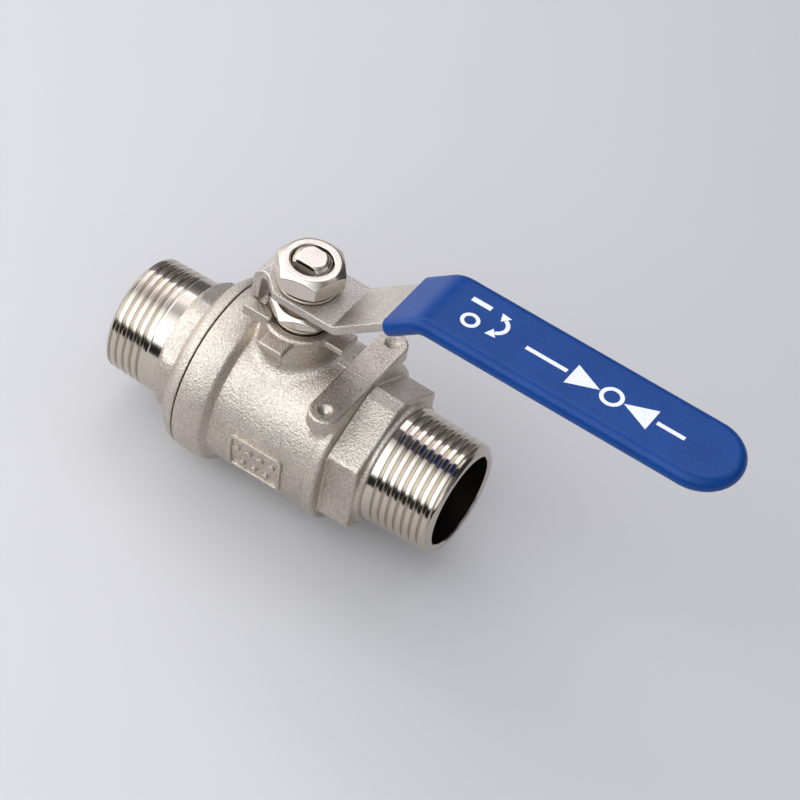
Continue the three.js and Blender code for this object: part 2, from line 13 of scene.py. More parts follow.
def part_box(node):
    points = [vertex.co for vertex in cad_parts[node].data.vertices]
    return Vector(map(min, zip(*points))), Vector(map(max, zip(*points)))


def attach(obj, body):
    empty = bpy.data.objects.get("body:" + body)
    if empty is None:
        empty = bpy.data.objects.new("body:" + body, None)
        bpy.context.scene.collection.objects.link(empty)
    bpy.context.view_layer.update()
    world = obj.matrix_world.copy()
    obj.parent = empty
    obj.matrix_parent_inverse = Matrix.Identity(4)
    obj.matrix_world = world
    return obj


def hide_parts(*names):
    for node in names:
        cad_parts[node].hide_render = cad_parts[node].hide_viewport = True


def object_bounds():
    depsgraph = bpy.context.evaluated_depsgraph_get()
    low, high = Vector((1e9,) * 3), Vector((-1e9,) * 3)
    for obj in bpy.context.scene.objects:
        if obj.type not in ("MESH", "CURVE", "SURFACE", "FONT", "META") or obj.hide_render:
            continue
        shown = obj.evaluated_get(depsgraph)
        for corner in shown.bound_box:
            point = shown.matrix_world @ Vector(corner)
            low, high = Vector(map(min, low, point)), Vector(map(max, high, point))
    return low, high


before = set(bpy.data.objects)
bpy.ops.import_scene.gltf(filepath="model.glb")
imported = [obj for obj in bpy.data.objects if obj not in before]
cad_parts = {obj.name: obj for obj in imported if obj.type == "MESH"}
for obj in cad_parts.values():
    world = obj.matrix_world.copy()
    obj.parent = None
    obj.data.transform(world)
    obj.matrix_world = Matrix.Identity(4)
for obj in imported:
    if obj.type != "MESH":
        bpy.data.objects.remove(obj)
cad_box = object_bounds()

MM = 0.001


def node_range(node, axis):
    """Where a CAD node starts and ends along an axis, in millimetres."""
    low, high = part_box(node)
    return low[axis] / MM, high[axis] / MM


# Dimensions in millimetres --------------------------------------------------------------------

SEAM, BODY_END = node_range("body", 0)
CAP_END = node_range("end_cap", 0)[0]
BODY_RADIUS = node_range("body", 1)[1]
LUG_TOP = node_range("body", 2)[1]
GLAND_WASHER_LOW, GLAND_WASHER_TOP = node_range("gland_washer", 2)
GLAND_NUT_LOW, GLAND_NUT_TOP = node_range("gland_nut", 2)
SPRING_WASHER_LOW, SPRING_WASHER_TOP = node_range("spring_washer", 2)
HANDLE_NUT_LOW, HANDLE_NUT_TOP = node_range("handle_nut", 2)
STEM_FOOT, STEM_TOP = node_range("stem", 2)
BALL_RADIUS = node_range("ball", 1)[1]
SLEEVE_END = node_range("lever_sleeve", 0)[1]
SLEEVE_HALF = node_range("lever_sleeve", 1)[1]
LEVER_HALF = node_range("lever", 1)[1]
LOWEST = cad_box[0].z / MM

GAP = 0.3
CRISP = 0.1  # rounding of an edge that is machined, or hidden in another shape
THREAD_CREST = 16.75
THREAD_DEPTH = 0.85
THREAD_PITCH = 2.309
THREAD_TAPER = 1 / 32
END_CHAMFER, END_CHAMFER_SLOPE = 2.1, 1.2
BORE = 12.9
MOUTH_CHAMFER = 0.35
BODY_THREAD_START, BODY_THREAD_RUNOUT = 28.5, 6.5
CAP_THREAD_START, CAP_THREAD_RUNOUT = -29.5, 5.0

SEAM_RADIUS = 24.7
RING_RADIUS, RING_CREST, RING_END = 25.2, -15.5, -11.6
BARREL_RADIUS, BARREL_START = 22.2, -9.6
BEAD_START, BEAD_END, BEAD_RADIUS = 19.4, 23.3, 22.9
BODY_HEX_FLATS, BODY_HEX_CORNER, BODY_HEX_CREST, BODY_HEX_END = 37.0, 21.2, 20.1, 32.7
CAP_HEX_FLATS, CAP_HEX_CORNER, CAP_HEX_TURN = 34.2, 18.6, -10.9
CAP_HEX_START, CAP_HEX_END, CAP_SHOULDER_RADIUS = -31.2, -25.2, 18.6
CAP_HEX_CHAMFER, CAP_HEX_CHAMFER_SLOPE = 2, 0.75
SHOULDER_LENGTH, SHOULDER_RADIUS = 1.6, 17.6

# Bores, and the cap's spigot: where they start and end along their own axis, and their radius
PORT_START, PORT_END, PORT = 10, 30, 12.2
SEAT_START, SEAT_END, SEAT_HOLE = 5, 16.3, 17.3
CAVITY_START, CAVITY_END, CAVITY_RADIUS = -14, 9.3, 18.8
SPIGOT_SEAT, SPIGOT_HOLE = -11.2, 20.9
SPIGOT_START_DEPTH, SPIGOT_END, SPIGOT_RADIUS = 3, -12.9, 20.6
BODY_TUBE_START, CAP_TUBE_START, TUBE_HOLE = 27, -28, THREAD_CREST - 2
STUFFING_FLOOR = 24.7
STEM_HOLE_START, STEM_HOLE_END, STEM_HOLE = 5, 27, 5.7

NECK_ROOT, NECK_SPLIT, NECK_TOP, NECK_RADIUS, STUFFING_RADIUS = 8, 26.6, 31.9, 10.1, 7.6
GLAND_RECESS = 8.3
TAB_HALF, TAB_START, TAB_REACH, TAB_TOP, TAB_HEIGHT = 3.6, 6, 14.8, 31.4, 1.9
LUG_INNER, LUG_OUTER, LUG_REACH, LUG_LOW = 4.6, 8.5, 12.9, 30.3
EAR_X, EAR_HALF, EAR_TOP, EAR_THICKNESS, EAR_DIMPLE_Y = 18.9, 4.45, 22.3, 4.7, 15.3
DIMPLE_RADIUS, DIMPLE_DEPTH = 2.0, 1.5
WEB_HALF, WEB_REACH, WEB_LOW, WEB_TOP = 2.4, 17.3, 9, 19
PARTING_START, PARTING_END, PARTING_SIDE = 11.1, 21.5, 0.3
PARTING_HEIGHT, PARTING_FOOT, PARTING_SLOPE = 0.1, 0.3, 0.7

BALL_SLOT_HALF, BALL_SLOT_FLOOR = 3, 13.7
NUT_FLATS, NUT_FACE, NUT_CHAMFER_SLOPE = 16.8, 7.5, 0.8
NUT_HOLE_GAP, NUT_SINK = 0.45, 0.35
WASHER_HOLE, GLAND_WASHER_RADIUS, SPRING_WASHER_RADIUS = 5.3, 7.8, 8.1
WASHER_SLIT_HALF = 0.5
HANDLE_NUT_CORNER, GLAND_NUT_CORNER = -49.4, -98.0
STEM_THREAD_RADIUS, FLAT_HALF, FLATS_START = 5.0, 3.3, 40.9
STEM_PITCH, STEM_THREAD_DEPTH, STEM_THREAD_START, STEM_CHAMFER = 1.5, 0.75, 30, 1.2
STEM_RADIUS, STEM_SHANK_START, STEM_SHOULDER = 5.4, 20, 32.3
FOOT_LOW, FOOT_TOP, FOOT_RADIUS = 19.2, 21.6, 7.2
TANG_HALF, TANG_REACH = 2.7, 5.5
STEM_WORN = 1.3  # how far below its top the stem's dull part starts

SHEET = 2.5
FLAT_Z, GRIP_Z = 42.4, 61.75
TAIL_X, TAIL_HALF, TAIL_FOOT, TAIL_START, PLATE_CORNER = -12.3, 4.25, 31.5, -9.5, -4.45
RISE_START, RISE_END = 13.6, 37.1
LEVER_BENDS = [2.6, 2.2, 6.5]
NARROW_END, HOLE_TOP = 5, 4  # of the tail's strip, and of the stem's hole over the plate's middle
GRIP_END_CENTRE = 111.0
SLEEVE_MOUTH_X, SLEEVE_THICKNESS, POCKET_GAP = 27.9, 5.1, 0.05


# Distance functions ---------------------------------------------------------------------------
# Each takes coordinates in millimetres and gives the distance to a surface, less than 0 inside.

def smooth_max(a, b, blend):
    """The larger of two values, rounded off where they are about the same."""
    room = np.maximum(blend - np.abs(a - b), 0) / blend
    return np.maximum(a, b) + room * room * blend / 4


def smooth_min(a, b, blend):
    return -smooth_max(-a, -b, blend)


def cut(solid, hole, blend=0.3):
    """A solid less a hole, with the hole's rim rounded."""
    return smooth_max(solid, -hole, blend)


def drum(along, radius, start, end, size, edge):
    """A round bar with rounded rims. Its size can vary along it."""
    over_end = np.abs(along - (start + end) / 2) - (end - start) / 2 + edge
    over_side = radius - size + edge
    outside = np.hypot(np.maximum(over_end, 0), np.maximum(over_side, 0))
    return outside + np.minimum(np.maximum(over_end, over_side), 0) - edge


def brick(x, y, z, low, high, edge):
    """A block with rounded edges between two corners."""
    over = [np.abs(v - (a + b) / 2) - (b - a) / 2 + edge
            for v, a, b in zip((x, y, z), low, high)]
    outside = np.sqrt(sum(np.maximum(v, 0) ** 2 for v in over))
    return outside + np.minimum(np.maximum(np.maximum(over[0], over[1]), over[2]), 0) - edge


def hexagon(u, v, flats, edge):
    """A hexagonal outline with a corner towards +v."""
    first = np.abs(u)
    second = np.abs(u / 2 + v * math.sqrt(0.75))
    third = np.abs(u / 2 - v * math.sqrt(0.75))
    return smooth_max(smooth_max(first, second, edge), third, edge) - flats / 2


def turned_aside(u, v, degrees):
    """Coordinates seen from axes turned by an angle."""
    c, s = math.cos(math.radians(degrees)), math.sin(math.radians(degrees))
    return u * c + v * s, v * c - u * s


# Meshes from distance functions ---------------------------------------------------------------

def slope_of(distance, points, reach):
    """The gradient of a distance function at some points."""
    slope = np.zeros_like(points)
    for axis in range(3):
        shift = np.zeros(3)
        shift[axis] = reach
        slope[:, axis] = distance(*(points + shift).T) - distance(*(points - shift).T)
    return slope / (2 * reach)


def surface_of(distance, low, high, step):
    """A skin of quads over a distance function: one vertex in each cell the surface crosses."""
    low = np.array(low, float) - 1.5 * step
    counts = np.ceil((np.array(high, float) + 1.5 * step - low) / step).astype(int) + 1
    ticks = [low[axis] + step * np.arange(counts[axis]) for axis in range(3)]
    field = distance(*np.meshgrid(*ticks, indexing="ij", sparse=True))
    field = np.broadcast_to(field, counts)
    cells = counts - 1
    corners, crossings, owners = [], [], []
    for axis in range(3):
        near = field[tuple(slice(0, -1) if a == axis else slice(None) for a in range(3))]
        far = field[tuple(slice(1, None) if a == axis else slice(None) for a in range(3))]
        spots = np.argwhere((near < 0) != (far < 0))
        start, end = near[tuple(spots.T)], far[tuple(spots.T)]
        crossing = spots.astype(float)
        crossing[:, axis] += start / (start - end)
        ring = []
        for side_b, side_c in ((1, 1), (0, 1), (0, 0), (1, 0)):
            cell = spots.copy()
            cell[:, (axis + 1) % 3] -= side_b
            cell[:, (axis + 2) % 3] -= side_c
            ring.append(np.ravel_multi_index(tuple(cell.T), cells))
            crossings.append(crossing)
            owners.append(ring[-1])
        quads = np.stack(ring, 1)
        flipped = start >= 0
        quads[flipped] = quads[flipped][:, ::-1]
        corners.append(quads)
    owners, crossings = np.concatenate(owners), np.concatenate(crossings)
    used, index = np.unique(owners, return_inverse=True)
    share = np.bincount(index)
    points = np.stack([np.bincount(index, crossings[:, axis]) / share for axis in range(3)], 1)
    points = low + step * points
    for _ in range(3):
        slope = slope_of(distance, points, step / 10)
        steepness = np.maximum((slope ** 2).sum(1), 0.1)
        move = (distance(*points.T) / steepness)[:, None] * slope
        points -= np.clip(move, -step / 3, step / 3)
    normals = slope_of(distance, points, step / 4)
    normals /= np.linalg.norm(normals, axis=1)[:, None]
    return points, np.searchsorted(used, np.concatenate(corners)), normals


# Pieces ---------------------------------------------------------------------------------------

def add_mesh(name, points, faces, material, normals=None):
    """A smooth mesh object from points in millimetres."""
    mesh = bpy.data.meshes.new(name)
    mesh.from_pydata(np.asarray(points, float) * MM, [], np.asarray(faces))
    mesh.shade_smooth()
    if normals is not None:
        mesh.normals_split_custom_set_from_vertices(normals)
    mesh.materials.append(material)
    piece = bpy.data.objects.new(name, mesh)
    bpy.context.scene.collection.objects.link(piece)
    return piece


def place(piece, body, slot, *nodes):
    """The body a piece moves with, and the CAD nodes that it stands for. Its slot argument is not
    used.
    """
    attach(piece, body)
    if nodes:
        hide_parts(*nodes)


def shaped(name, distance, low, high, step, material, body, slot, *nodes):
    """A piece skinned from a distance function, in cells of one step, within two corners."""
    points, faces, normals = surface_of(distance, low, high, step)
    piece = add_mesh(name, points, faces, material, normals)
    place(piece, body, slot, *nodes)
    return piece


# Materials ------------------------------------------------------------------------------------

class Shader:
    """A Principled material whose nodes are added by short calls."""

    def __init__(self, name, **values):
        self.material = bpy.data.materials.new(name)
        self.material.use_nodes = True
        self.tree = self.material.node_tree
        self.surface = self.tree.nodes["Principled BSDF"]
        self.place = self.add("ShaderNodeTexCoord").outputs["Object"]
        for socket, value in values.items():
            self.surface.inputs[socket.replace("_", " ")].default_value = value

    def add(self, kind, links=(), **settings):
        node = self.tree.nodes.new(kind)
        for key, value in settings.items():
            setattr(node, key, value)
        for socket, value in dict(links).items():
            if isinstance(value, bpy.types.NodeSocket):
                self.tree.links.new(value, node.inputs[socket])
            else:
                node.inputs[socket].default_value = value
        return node

    def math(self, operation, first, second=0.0):
        return self.add("ShaderNodeMath", {0: first, 1: second}, operation=operation).outputs[0]

    def noise(self, size, detail=2.0, roughness=0.5, vector=None):
        """Even noise whose features are about this many millimetres across."""
        links = {"Vector": vector or self.place, "Scale": 1 / (size * MM),
                 "Detail": detail, "Roughness": roughness}
        return self.add("ShaderNodeTexNoise", links).outputs["Fac"]

    def span(self, value, low, high, start=0.0, end=1.0):
        """A value's range carried over to another range."""
        links = {"Value": value, "From Min": start, "From Max": end, "To Min": low, "To Max": high}
        return self.add("ShaderNodeMapRange", links).outputs["Result"]

    def ramp(self, value, *stops):
        node = self.add("ShaderNodeValToRGB", {"Fac": value})
        elements = node.color_ramp.elements
        for _ in stops[2:]:
            elements.new(0.5)
        for element, (position, colour) in zip(elements, stops):
            element.position = position
            element.color = (*colour, 1)
        return node.outputs["Color"]

    def bump(self, height, depth):
        """A relief whose full height is given in millimetres."""
        links = {"Height": height, "Distance": depth * MM}
        return self.add("ShaderNodeBump", links).outputs["Normal"]

    def drive(self, socket, value):
        self.tree.links.new(value, self.surface.inputs[socket])

    def around(self, axis):
        """How far a point lies from an axis, and where along it, in metres."""
        parts = self.add("ShaderNodeSeparateXYZ", {0: self.place}).outputs
        across = [parts[i] for i in range(3) if i != axis]
        squares = [self.math("MULTIPLY", part, part) for part in across]
        return self.math("SQRT", self.math("ADD", *squares)), parts[axis]


def steel(name, tint, spread, grain, rough, relief, worn=None):
    """A metal whose colour, gloss and surface vary with an even grain and with soft patches.

    It is dull below a height, worn, if one is given."""
    shader = Shader(name, Metallic=1.0)
    patches = shader.noise(7.0, 2.0)
    dull = tuple((1 - spread / 2) * part for part in tint)
    shade = shader.span(grain(shader), 1 - spread, 1 + spread, 0.3, 0.7)
    patched = shader.ramp(patches, (0.3, dull), (0.7, tint))
    colour = shader.add("ShaderNodeVectorMath", {0: patched, 1: shade}, operation="MULTIPLY")
    shader.drive("Base Color", colour.outputs[0])
    gloss = shader.span(shader.noise(2.5, 2.0), rough * 0.85, rough * 1.15, 0.3, 0.7)
    if worn is not None:
        height = shader.around(2)[1]
        dulled = shader.span(height, 0.6, rough, (worn - 0.2) * MM, (worn + 0.2) * MM)
        gloss = shader.math("MAXIMUM", gloss, dulled)
    shader.drive("Roughness", gloss)
    shader.drive("Normal", shader.bump(grain(shader), relief))
    return shader.material


def cast_steel():
    return steel("cast_stainless", (0.63, 0.56, 0.48), 0.26,
                 lambda shader: shader.noise(0.55, 2.5, 0.65), 0.31, 0.28)


def turned_steel(name, axis, line, rough, tint=(0.67, 0.60, 0.52), worn=None):
    """Bright steel with fine turning lines round an axis."""
    def lines(shader):
        radius, along = shader.around(axis)
        across = shader.add("ShaderNodeCombineXYZ", {0: radius, 1: along}).outputs[0]
        return shader.noise(line, 3.0, 0.6, across)
    return steel(name, tint, 0.06, lines, rough, 0.02, worn)


def sheet_steel():
    return steel("satin_sheet", (0.64, 0.585, 0.525), 0.3,
                 lambda shader: shader.noise(0.45, 2.0, 0.65), 0.34, 0.26)


def blue_vinyl():
    shader = Shader("blue_vinyl", IOR=1.3)
    clouds = shader.noise(9.0, 3.0)
    skin = shader.noise(1.1, 2.0)
    colour = shader.ramp(clouds, (0.3, (0.002, 0.041, 0.2)), (0.7, (0.003, 0.049, 0.23)))
    shader.drive("Base Color", colour)
    shader.drive("Roughness", shader.span(skin, 0.2, 0.28, 0.3, 0.7))
    shader.drive("Normal", shader.bump(skin, 0.04))
    return shader.material


def white_ink():
    shader = Shader("white_ink", IOR=1.5)
    wear = shader.noise(0.5, 2.0)
    colour = shader.ramp(wear, (0.3, (0.72, 0.73, 0.75)), (0.6, (0.86, 0.87, 0.88)))
    shader.drive("Base Color", colour)
    shader.drive("Roughness", shader.span(wear, 0.4, 0.5, 0.3, 0.7))
    return shader.material


def white_ptfe():
    shader = Shader("ptfe", IOR=1.35)
    clouds = shader.noise(2.0, 2.0)
    colour = shader.ramp(clouds, (0.3, (0.80, 0.79, 0.76)), (0.7, (0.87, 0.86, 0.84)))
    shader.drive("Base Color", colour)
    shader.drive("Roughness", shader.span(clouds, 0.42, 0.55, 0.3, 0.7))
    return shader.material


CAST = cast_steel()
THREADED = turned_steel("turned_pipe_end", 0, 0.25, 0.12, (0.60, 0.535, 0.455))
TURNED = turned_steel("turned_stem_parts", 2, 0.3, 0.15)
STEM_STEEL = turned_steel("turned_stem", 2, 0.3, 0.15, worn=STEM_TOP - STEM_WORN)
POLISHED = turned_steel("polished_ball", 0, 0.3, 0.1)
SHEET_STEEL = sheet_steel()
VINYL = blue_vinyl()
INK = white_ink()
PTFE = white_ptfe()


# Body casting ---------------------------------------------------------------------------------

def body_casting(x, y, z):
    """The barrel with its ring and bead, the hexagon, the neck's root and the ear pad's web."""
    radius = np.hypot(y, z)
    off_crest = (x - RING_CREST) / (SEAM - RING_CREST)
    dome = RING_RADIUS - (RING_RADIUS - SEAM_RADIUS) * off_crest ** 2
    fall, run = RING_RADIUS - BARREL_RADIUS, BARREL_START - RING_END
    slope = (x - BARREL_START) * fall + (radius - BARREL_RADIUS) * run
    ring = smooth_max(radius - dome, slope / math.hypot(fall, run), 0.4)
    barrel = drum(x, radius, SEAM + 2, BEAD_START + 2, BARREL_RADIUS, 0.5)
    bead = drum(x, radius, BEAD_START, BEAD_END, BEAD_RADIUS, 1.2)
    bead = np.maximum(bead, z - EAR_TOP + 0.2)
    solid = smooth_min(smooth_min(ring, barrel, 0.3), bead, 0.6)

    hexed = hexagon(y, z, BODY_HEX_FLATS, 0.5)
    hexed = smooth_max(hexed, radius - BODY_HEX_CORNER, 0.4)
    hexed = smooth_max(hexed, np.abs(z) - BODY_HEX_CREST, 0.3)
    hexed = smooth_max(hexed, np.maximum(x - BODY_HEX_END, BEAD_START - x), 0.8)
    solid = smooth_min(solid, hexed, 0.5)
    shoulder = drum(x, radius, BODY_HEX_END - 2, BODY_HEX_END + SHOULDER_LENGTH, SHOULDER_RADIUS, 0.7)
    solid = smooth_min(solid, shoulder, 0.8)

    spoke = np.hypot(x, y)
    root = drum(z, spoke, NECK_ROOT, NECK_SPLIT, NECK_RADIUS, CRISP)
    solid = smooth_min(solid, root, 2.6)
    web = brick(x, y, z, (EAR_X - WEB_HALF, -WEB_REACH, WEB_LOW),
                (EAR_X + WEB_HALF, WEB_REACH, WEB_TOP), 1)
    solid = smooth_min(solid, web, 0.8)

    bores = drum(x, radius, BODY_TUBE_START, BODY_END, TUBE_HOLE, CRISP)
    for start, end, size in ((SEAM - 2, SPIGOT_SEAT, SPIGOT_HOLE),
                             (CAVITY_START, CAVITY_END, CAVITY_RADIUS),
                             (SEAT_START, SEAT_END, SEAT_HOLE),
                             (PORT_START, PORT_END, PORT)):
        bores = np.minimum(bores, drum(x, radius, start, end, size, CRISP))
    stemway = np.minimum(drum(z, spoke, STUFFING_FLOOR, NECK_TOP + 3, STUFFING_RADIUS, CRISP),
                         drum(z, spoke, STEM_HOLE_START, STEM_HOLE_END, STEM_HOLE, CRISP))
    solid = cut(solid, np.minimum(bores, stemway), 0.3)
    return smooth_max(solid, SEAM - x, 0.3)


shaped("body_casting", body_casting, (SEAM, -BODY_RADIUS, -BODY_RADIUS),
       (BODY_HEX_END + 2, BODY_RADIUS, NECK_SPLIT), 0.46, CAST, "housing", "cast_steel", "body")


def neck_casting(x, y, z):
    """The top of the neck, with the two tabs and the two stops that stand out from it."""
    spoke = np.hypot(x, y)
    solid = drum(z, spoke, NECK_SPLIT - 1, NECK_TOP, NECK_RADIUS, 0.9)
    tab_low = TAB_TOP - TAB_HEIGHT
    front_tab = brick(x, y, z, (-TAB_HALF, -TAB_REACH, tab_low), (TAB_HALF, -TAB_START, TAB_TOP), 0.4)
    right_tab = brick(x, y, z, (TAB_START, -TAB_HALF, tab_low), (TAB_REACH, TAB_HALF, TAB_TOP), 0.4)
    stop_low, stop_high = (-LUG_REACH, -LUG_OUTER, LUG_LOW), (-LUG_INNER, -LUG_INNER, LUG_TOP)
    open_stop = brick(x, y, z, stop_low, stop_high, 0.35)
    closed_stop = brick(-y, -x, z, stop_low, stop_high, 0.35)
    for piece in (front_tab, right_tab, open_stop, closed_stop):
        solid = smooth_min(solid, piece, 0.5)
    recess = drum(z, spoke, NECK_TOP, LUG_TOP + 3, GLAND_RECESS, CRISP)
    hollow = np.minimum(recess, spoke - STUFFING_RADIUS)
    solid = cut(solid, hollow, 0.3)
    return np.maximum(solid, NECK_SPLIT - 0.4 - z)


shaped("neck_casting", neck_casting, (-TAB_REACH, -TAB_REACH, NECK_SPLIT - 0.4),
       (TAB_REACH, TAB_REACH, LUG_TOP), 0.27, CAST, "housing", "cast_steel")


def ear_pad(x, y, z):
    """A flat bar with round ends across the barrel, dimpled near each end."""
    plan = np.hypot(x - EAR_X, np.maximum(np.abs(y) - EAR_DIMPLE_Y, 0)) - EAR_HALF
    solid = drum(z, plan, EAR_TOP - EAR_THICKNESS, EAR_TOP, 0, 0.75)
    off = np.hypot(x - EAR_X, np.abs(y) - EAR_DIMPLE_Y)
    cone = (off - DIMPLE_RADIUS + (EAR_TOP - z) * DIMPLE_RADIUS / DIMPLE_DEPTH) * 0.6
    solid = cut(solid, cone, 0.1)
    return cut(solid, np.hypot(y, z) - BARREL_RADIUS + 1.5, 0.1)


shaped("ear_pad_casting", ear_pad,
       (EAR_X - EAR_HALF, -EAR_DIMPLE_Y - EAR_HALF, EAR_TOP - EAR_THICKNESS),
       (EAR_X + EAR_HALF, EAR_DIMPLE_Y + EAR_HALF, EAR_TOP), 0.24, CAST, "housing", "cast_steel")


def parting_line(x, y, z):
    """The faint raised line that the two halves of the wax mould left on top."""
    height = z - EAR_TOP + np.abs(y - PARTING_SIDE) * PARTING_SLOPE
    over_end = np.abs(x - (PARTING_START + PARTING_END) / 2) - (PARTING_END - PARTING_START) / 2
    return np.maximum(np.maximum(height - PARTING_HEIGHT, EAR_TOP - PARTING_FOOT - z), over_end)


shaped("parting_line", parting_line, (PARTING_START, -0.3, EAR_TOP - PARTING_FOOT),
       (PARTING_END, 0.9, EAR_TOP + PARTING_HEIGHT), 0.1, CAST, "housing", "cast_steel")


PAD_X, PAD_TURN = 4.95, 97.4  # the turn is in degrees, from straight up towards -Y
PAD_HALF_LENGTH, PAD_HALF_WIDTH, PAD_CORNER, PAD_RELIEF = 8.45, 6.45, 1.8, 0.7
FRAME_HALF = 0.45
PIP_RADIUS, PIP_SPACING = 1, 3.6
PIP_ROWS = ((-2.5, 4), (2.5, 3))  # how far round the barrel each row lies, and its pips


def marking_pad(x, y, z):
    """A raised frame on the barrel's near side with plain raised pips in it."""
    along = x - PAD_X
    turn = np.arctan2(-y, z) - math.radians(PAD_TURN)
    around = BARREL_RADIUS * turn
    border = brick(along, around, 0 * turn, (-PAD_HALF_LENGTH, -PAD_HALF_WIDTH, -1),
                   (PAD_HALF_LENGTH, PAD_HALF_WIDTH, 1), PAD_CORNER)
    marks = np.abs(border + FRAME_HALF) - FRAME_HALF
    for row, columns in PIP_ROWS:
        for column in range(columns):
            centre = PIP_SPACING * (column - (columns - 1) / 2)
            pip = np.hypot(along - centre, around - row) - PIP_RADIUS
            marks = np.minimum(marks, pip)
    height = np.hypot(y, z) - BARREL_RADIUS
    return smooth_max(marks, np.abs(height) - PAD_RELIEF, 0.25)


PAD_SWEEP = math.radians(PAD_TURN), PAD_HALF_WIDTH / BARREL_RADIUS
PAD_OUTER = BARREL_RADIUS + PAD_RELIEF
PAD_TOP = PAD_OUTER * math.cos(PAD_SWEEP[0] - PAD_SWEEP[1])
PAD_FOOT = PAD_OUTER * math.cos(PAD_SWEEP[0] + PAD_SWEEP[1])
shaped("marking_pad", marking_pad, (PAD_X - PAD_HALF_LENGTH, -PAD_OUTER, PAD_FOOT),
       (PAD_X + PAD_HALF_LENGTH, -PAD_OUTER * math.cos(0.5), PAD_TOP), 0.2, CAST,
       "housing", "cast_steel")


# End cap casting ------------------------------------------------------------------------------

def cap_casting(x, y, z):
    """The round flange at the seam, the turned hexagon and the spigot inside the body."""
    radius = np.hypot(y, z)
    start = SEAM - GAP
    depth = np.clip((start - x) / (start - CAP_HEX_END), 0, 1)
    dome = CAP_SHOULDER_RADIUS + (SEAM_RADIUS - CAP_SHOULDER_RADIUS) * np.sqrt(1 - depth ** 2)
    flange = drum(x, radius, CAP_HEX_END - 0.1, start, dome, 0.2)
    hexed = hexagon(*turned_aside(y, z, -CAP_HEX_TURN), CAP_HEX_FLATS, 0.4)
    chamfer = np.minimum(x - CAP_HEX_START - CAP_HEX_CHAMFER, 0) * CAP_HEX_CHAMFER_SLOPE
    hexed = smooth_max(hexed, radius - CAP_HEX_CORNER - chamfer, 0.4)
    hexed = smooth_max(hexed, np.maximum(x - start, CAP_HEX_START - x), 0.6)
    solid = smooth_min(flange, hexed, 0.25)
    spigot = drum(x, radius, start - SPIGOT_START_DEPTH, SPIGOT_END, SPIGOT_RADIUS, 0.6)
    solid = np.minimum(solid, spigot)
    bores = np.minimum(drum(x, radius, CAP_END, CAP_TUBE_START, TUBE_HOLE, CRISP),
                       drum(x, radius, -PORT_END, -PORT_START, PORT, CRISP))
    bores = np.minimum(bores, drum(x, radius, -SEAT_END, -PORT_START, SEAT_HOLE, CRISP))
    return cut(solid, bores, 0.3)


shaped("cap_casting", cap_casting, (CAP_HEX_START - 1, -SEAM_RADIUS, -SEAM_RADIUS),
       (-12.7, SEAM_RADIUS, SEAM_RADIUS), 0.41, CAST, "housing", "cast_steel", "end_cap")


# Threaded pipe ends ---------------------------------------------------------------------------

# A pitch from crest to crest: how far along it, and how deep, the worn thread's corners lie.
THREAD_FORM = ((0, 0), (0.12, 0), (0.24, 0), (0.265, 0.04), (0.33, 0.3), (0.4, 0.63), (0.47, 0.97),
               (0.5, 1), (0.53, 0.97), (0.6, 0.63), (0.67, 0.3), (0.735, 0.04), (0.76, 0), (0.88, 0))


def threaded_end(name, inner, outer, runout):
    """A tube with a tapered right-hand thread outside and a plain bore, closed all round.

    Its rows of points follow the helix, so the thread's edges stay sharp. Past either end they are
    all drawn in to the end's plane and merged there."""
    direction, length = math.copysign(1, outer - inner), abs(outer - inner)
    columns = 160
    turn = np.linspace(0, 1, columns, endpoint=False)
    rows = []
    for pitch in range(-2, int(length / THREAD_PITCH) + 2):
        for step, depth in THREAD_FORM:
            along = np.clip((pitch + step + turn) * THREAD_PITCH, 0, length)
            fade = np.clip((along - runout) / THREAD_PITCH, 0, 1)
            radius = THREAD_CREST - along * THREAD_TAPER - THREAD_DEPTH * depth * fade
            chamfer = THREAD_CREST - END_CHAMFER + (length - along) * END_CHAMFER_SLOPE
            rows.append((along, np.minimum(radius, chamfer)))
    thread_rows = len(rows)
    ends = ((length, rows[-1][1][0]), (length, BORE + MOUTH_CHAMFER), (length - MOUTH_CHAMFER, BORE),
            (length * 0.7, BORE), (length * 0.3, BORE), (0, BORE), (0, rows[0][1][0]))
    rows += [(np.full(columns, along), np.full(columns, size)) for along, size in ends]
    angle = direction * 2 * math.pi * turn
    rings = [(inner + direction * along, -r * np.sin(angle), r * np.cos(angle)) for along, r in rows]
    points = np.concatenate([np.stack(ring, 1) for ring in rings])

    def corner(row, column):
        """A point's number. Past a row's last column comes the row one pitch further on."""
        past = column == columns
        return (row + len(THREAD_FORM) * (past and row < thread_rows)) * columns + column % columns

    faces = []
    for row in range(len(rows) - 1):
        for column in range(columns):
            quad = (corner(row, column), corner(row + 1, column), corner(row + 1, column + 1),
                    corner(row, column + 1))
            wraps = column == columns - 1 and row < thread_rows
            if row != thread_rows - 1 and not (wraps and row + 1 + len(THREAD_FORM) >= thread_rows):
                faces.append(quad)
    piece = add_mesh(name, points, faces, THREADED)
    mesh = bmesh.new()
    mesh.from_mesh(piece.data)
    bmesh.ops.remove_doubles(mesh, verts=mesh.verts, dist=1e-4 * MM)
    bmesh.ops.recalc_face_normals(mesh, faces=mesh.faces)
    mesh.to_mesh(piece.data)
    mesh.free()
    piece.data.set_sharp_from_angle(angle=math.radians(42))
    place(piece, "housing", "cast_steel")
    return piece


threaded_end("body_thread", BODY_THREAD_START, BODY_END, BODY_THREAD_RUNOUT)
threaded_end("cap_thread", CAP_THREAD_START, CAP_END, CAP_THREAD_RUNOUT)


# Ball, stem, washers and nuts -----------------------------------------------------------------

